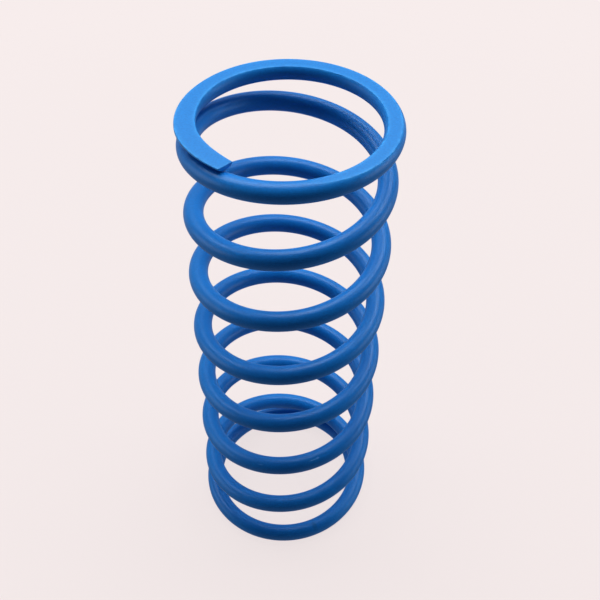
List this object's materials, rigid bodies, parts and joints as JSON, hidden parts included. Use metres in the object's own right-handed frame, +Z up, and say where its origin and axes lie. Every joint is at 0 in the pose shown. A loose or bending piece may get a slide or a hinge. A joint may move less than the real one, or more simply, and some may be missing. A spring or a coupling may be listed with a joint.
{
  "type": "coil spring",
  "caption": "Round-wire compression coil spring with closed and ground ends and a painted finish, for a coil-over damper; the coils close up together under load.",
  "frame": {"origin": "on the spring's axis, in the plane of the bottom ground seat that it stands on", "axes": "+Z up along the spring's axis to the top seat, +X to the right and -Y to the front, with the wire's upper end at the front left"},
  "size_m": [0.0751, 0.0744, 0.2037],
  "materials": {
    "painted_wire": "satin powder coat"
  },
  "bodies": {
    "bottom_end": {"bottom_end_coil": "painted_wire"},
    "coil_1_left": {"coil_1_left": "painted_wire"},
    "coil_1_front": {"coil_1_front": "painted_wire"},
    "coil_1_right": {"coil_1_right": "painted_wire"},
    "coil_1_rear": {"coil_1_rear": "painted_wire"},
    "coil_2_left": {"coil_2_left": "painted_wire"},
    "coil_2_front": {"coil_2_front": "painted_wire"},
    "coil_2_right": {"coil_2_right": "painted_wire"},
    "coil_2_rear": {"coil_2_rear": "painted_wire"},
    "coil_3_left": {"coil_3_left": "painted_wire"},
    "coil_3_front": {"coil_3_front": "painted_wire"},
    "coil_3_right": {"coil_3_right": "painted_wire"},
    "coil_3_rear": {"coil_3_rear": "painted_wire"},
    "coil_4_left": {"coil_4_left": "painted_wire"},
    "coil_4_front": {"coil_4_front": "painted_wire"},
    "coil_4_right": {"coil_4_right": "painted_wire"},
    "coil_4_rear": {"coil_4_rear": "painted_wire"},
    "coil_5_left": {"coil_5_left": "painted_wire"},
    "coil_5_front": {"coil_5_front": "painted_wire"},
    "coil_5_right": {"coil_5_right": "painted_wire"},
    "coil_5_rear": {"coil_5_rear": "painted_wire"},
    "coil_6_left": {"coil_6_left": "painted_wire"},
    "coil_6_front": {"coil_6_front": "painted_wire"},
    "coil_6_right": {"coil_6_right": "painted_wire"},
    "top_end": {"top_end_coil": "painted_wire"}
  },
  "joints": [
    {"name": "compression", "type": "slide", "parent": "bottom_end", "child": "coil_1_left", "axis": [0, 0, -1], "range_m": [0, 0.005], "stiffness_N_per_m": 300000},
    {"name": "compression_coil_1_front", "type": "slide", "parent": "coil_1_left", "child": "coil_1_front", "axis": [0, 0, -1], "range_m": [0, 0.005], "stiffness_N_per_m": 300000},
    {"name": "compression_coil_1_right", "type": "slide", "parent": "coil_1_front", "child": "coil_1_right", "axis": [0, 0, -1], "range_m": [0, 0.005], "stiffness_N_per_m": 300000},
    {"name": "compression_coil_1_rear", "type": "slide", "parent": "coil_1_right", "child": "coil_1_rear", "axis": [0, 0, -1], "range_m": [0, 0.005], "stiffness_N_per_m": 300000},
    {"name": "compression_coil_2_left", "type": "slide", "parent": "coil_1_rear", "child": "coil_2_left", "axis": [0, 0, -1], "range_m": [0, 0.005], "stiffness_N_per_m": 300000},
    {"name": "compression_coil_2_front", "type": "slide", "parent": "coil_2_left", "child": "coil_2_front", "axis": [0, 0, -1], "range_m": [0, 0.005], "stiffness_N_per_m": 300000},
    {"name": "compression_coil_2_right", "type": "slide", "parent": "coil_2_front", "child": "coil_2_right", "axis": [0, 0, -1], "range_m": [0, 0.005], "stiffness_N_per_m": 300000},
    {"name": "compression_coil_2_rear", "type": "slide", "parent": "coil_2_right", "child": "coil_2_rear", "axis": [0, 0, -1], "range_m": [0, 0.005], "stiffness_N_per_m": 300000},
    {"name": "compression_coil_3_left", "type": "slide", "parent": "coil_2_rear", "child": "coil_3_left", "axis": [0, 0, -1], "range_m": [0, 0.005], "stiffness_N_per_m": 300000},
    {"name": "compression_coil_3_front", "type": "slide", "parent": "coil_3_left", "child": "coil_3_front", "axis": [0, 0, -1], "range_m": [0, 0.005], "stiffness_N_per_m": 300000},
    {"name": "compression_coil_3_right", "type": "slide", "parent": "coil_3_front", "child": "coil_3_right", "axis": [0, 0, -1], "range_m": [0, 0.005], "stiffness_N_per_m": 300000},
    {"name": "compression_coil_3_rear", "type": "slide", "parent": "coil_3_right", "child": "coil_3_rear", "axis": [0, 0, -1], "range_m": [0, 0.005], "stiffness_N_per_m": 300000},
    {"name": "compression_coil_4_left", "type": "slide", "parent": "coil_3_rear", "child": "coil_4_left", "axis": [0, 0, -1], "range_m": [0, 0.005], "stiffness_N_per_m": 300000},
    {"name": "compression_coil_4_front", "type": "slide", "parent": "coil_4_left", "child": "coil_4_front", "axis": [0, 0, -1], "range_m": [0, 0.005], "stiffness_N_per_m": 300000},
    {"name": "compression_coil_4_right", "type": "slide", "parent": "coil_4_front", "child": "coil_4_right", "axis": [0, 0, -1], "range_m": [0, 0.005], "stiffness_N_per_m": 300000},
    {"name": "compression_coil_4_rear", "type": "slide", "parent": "coil_4_right", "child": "coil_4_rear", "axis": [0, 0, -1], "range_m": [0, 0.005], "stiffness_N_per_m": 300000},
    {"name": "compression_coil_5_left", "type": "slide", "parent": "coil_4_rear", "child": "coil_5_left", "axis": [0, 0, -1], "range_m": [0, 0.005], "stiffness_N_per_m": 300000},
    {"name": "compression_coil_5_front", "type": "slide", "parent": "coil_5_left", "child": "coil_5_front", "axis": [0, 0, -1], "range_m": [0, 0.005], "stiffness_N_per_m": 300000},
    {"name": "compression_coil_5_right", "type": "slide", "parent": "coil_5_front", "child": "coil_5_right", "axis": [0, 0, -1], "range_m": [0, 0.005], "stiffness_N_per_m": 300000},
    {"name": "compression_coil_5_rear", "type": "slide", "parent": "coil_5_right", "child": "coil_5_rear", "axis": [0, 0, -1], "range_m": [0, 0.005], "stiffness_N_per_m": 300000},
    {"name": "compression_coil_6_left", "type": "slide", "parent": "coil_5_rear", "child": "coil_6_left", "axis": [0, 0, -1], "range_m": [0, 0.005], "stiffness_N_per_m": 300000},
    {"name": "compression_coil_6_front", "type": "slide", "parent": "coil_6_left", "child": "coil_6_front", "axis": [0, 0, -1], "range_m": [0, 0.005], "stiffness_N_per_m": 300000},
    {"name": "compression_coil_6_right", "type": "slide", "parent": "coil_6_front", "child": "coil_6_right", "axis": [0, 0, -1], "range_m": [0, 0.005], "stiffness_N_per_m": 300000},
    {"name": "compression_top_end", "type": "slide", "parent": "coil_6_right", "child": "top_end", "axis": [0, 0, -1], "range_m": [0, 0.005], "stiffness_N_per_m": 300000}
  ],
  "couplings": [
    {"joint": "compression_coil_1_front", "follows": "compression", "ratio": 1},
    {"joint": "compression_coil_1_right", "follows": "compression", "ratio": 1},
    {"joint": "compression_coil_1_rear", "follows": "compression", "ratio": 1},
    {"joint": "compression_coil_2_left", "follows": "compression", "ratio": 1},
    {"joint": "compression_coil_2_front", "follows": "compression", "ratio": 1},
    {"joint": "compression_coil_2_right", "follows": "compression", "ratio": 1},
    {"joint": "compression_coil_2_rear", "follows": "compression", "ratio": 1},
    {"joint": "compression_coil_3_left", "follows": "compression", "ratio": 1},
    {"joint": "compression_coil_3_front", "follows": "compression", "ratio": 1},
    {"joint": "compression_coil_3_right", "follows": "compression", "ratio": 1},
    {"joint": "compression_coil_3_rear", "follows": "compression", "ratio": 1},
    {"joint": "compression_coil_4_left", "follows": "compression", "ratio": 1},
    {"joint": "compression_coil_4_front", "follows": "compression", "ratio": 1},
    {"joint": "compression_coil_4_right", "follows": "compression", "ratio": 1},
    {"joint": "compression_coil_4_rear", "follows": "compression", "ratio": 1},
    {"joint": "compression_coil_5_left", "follows": "compression", "ratio": 1},
    {"joint": "compression_coil_5_front", "follows": "compression", "ratio": 1},
    {"joint": "compression_coil_5_right", "follows": "compression", "ratio": 1},
    {"joint": "compression_coil_5_rear", "follows": "compression", "ratio": 1},
    {"joint": "compression_coil_6_left", "follows": "compression", "ratio": 1},
    {"joint": "compression_coil_6_front", "follows": "compression", "ratio": 1},
    {"joint": "compression_coil_6_right", "follows": "compression", "ratio": 1},
    {"joint": "compression_top_end", "follows": "compression", "ratio": 1}
  ]
}
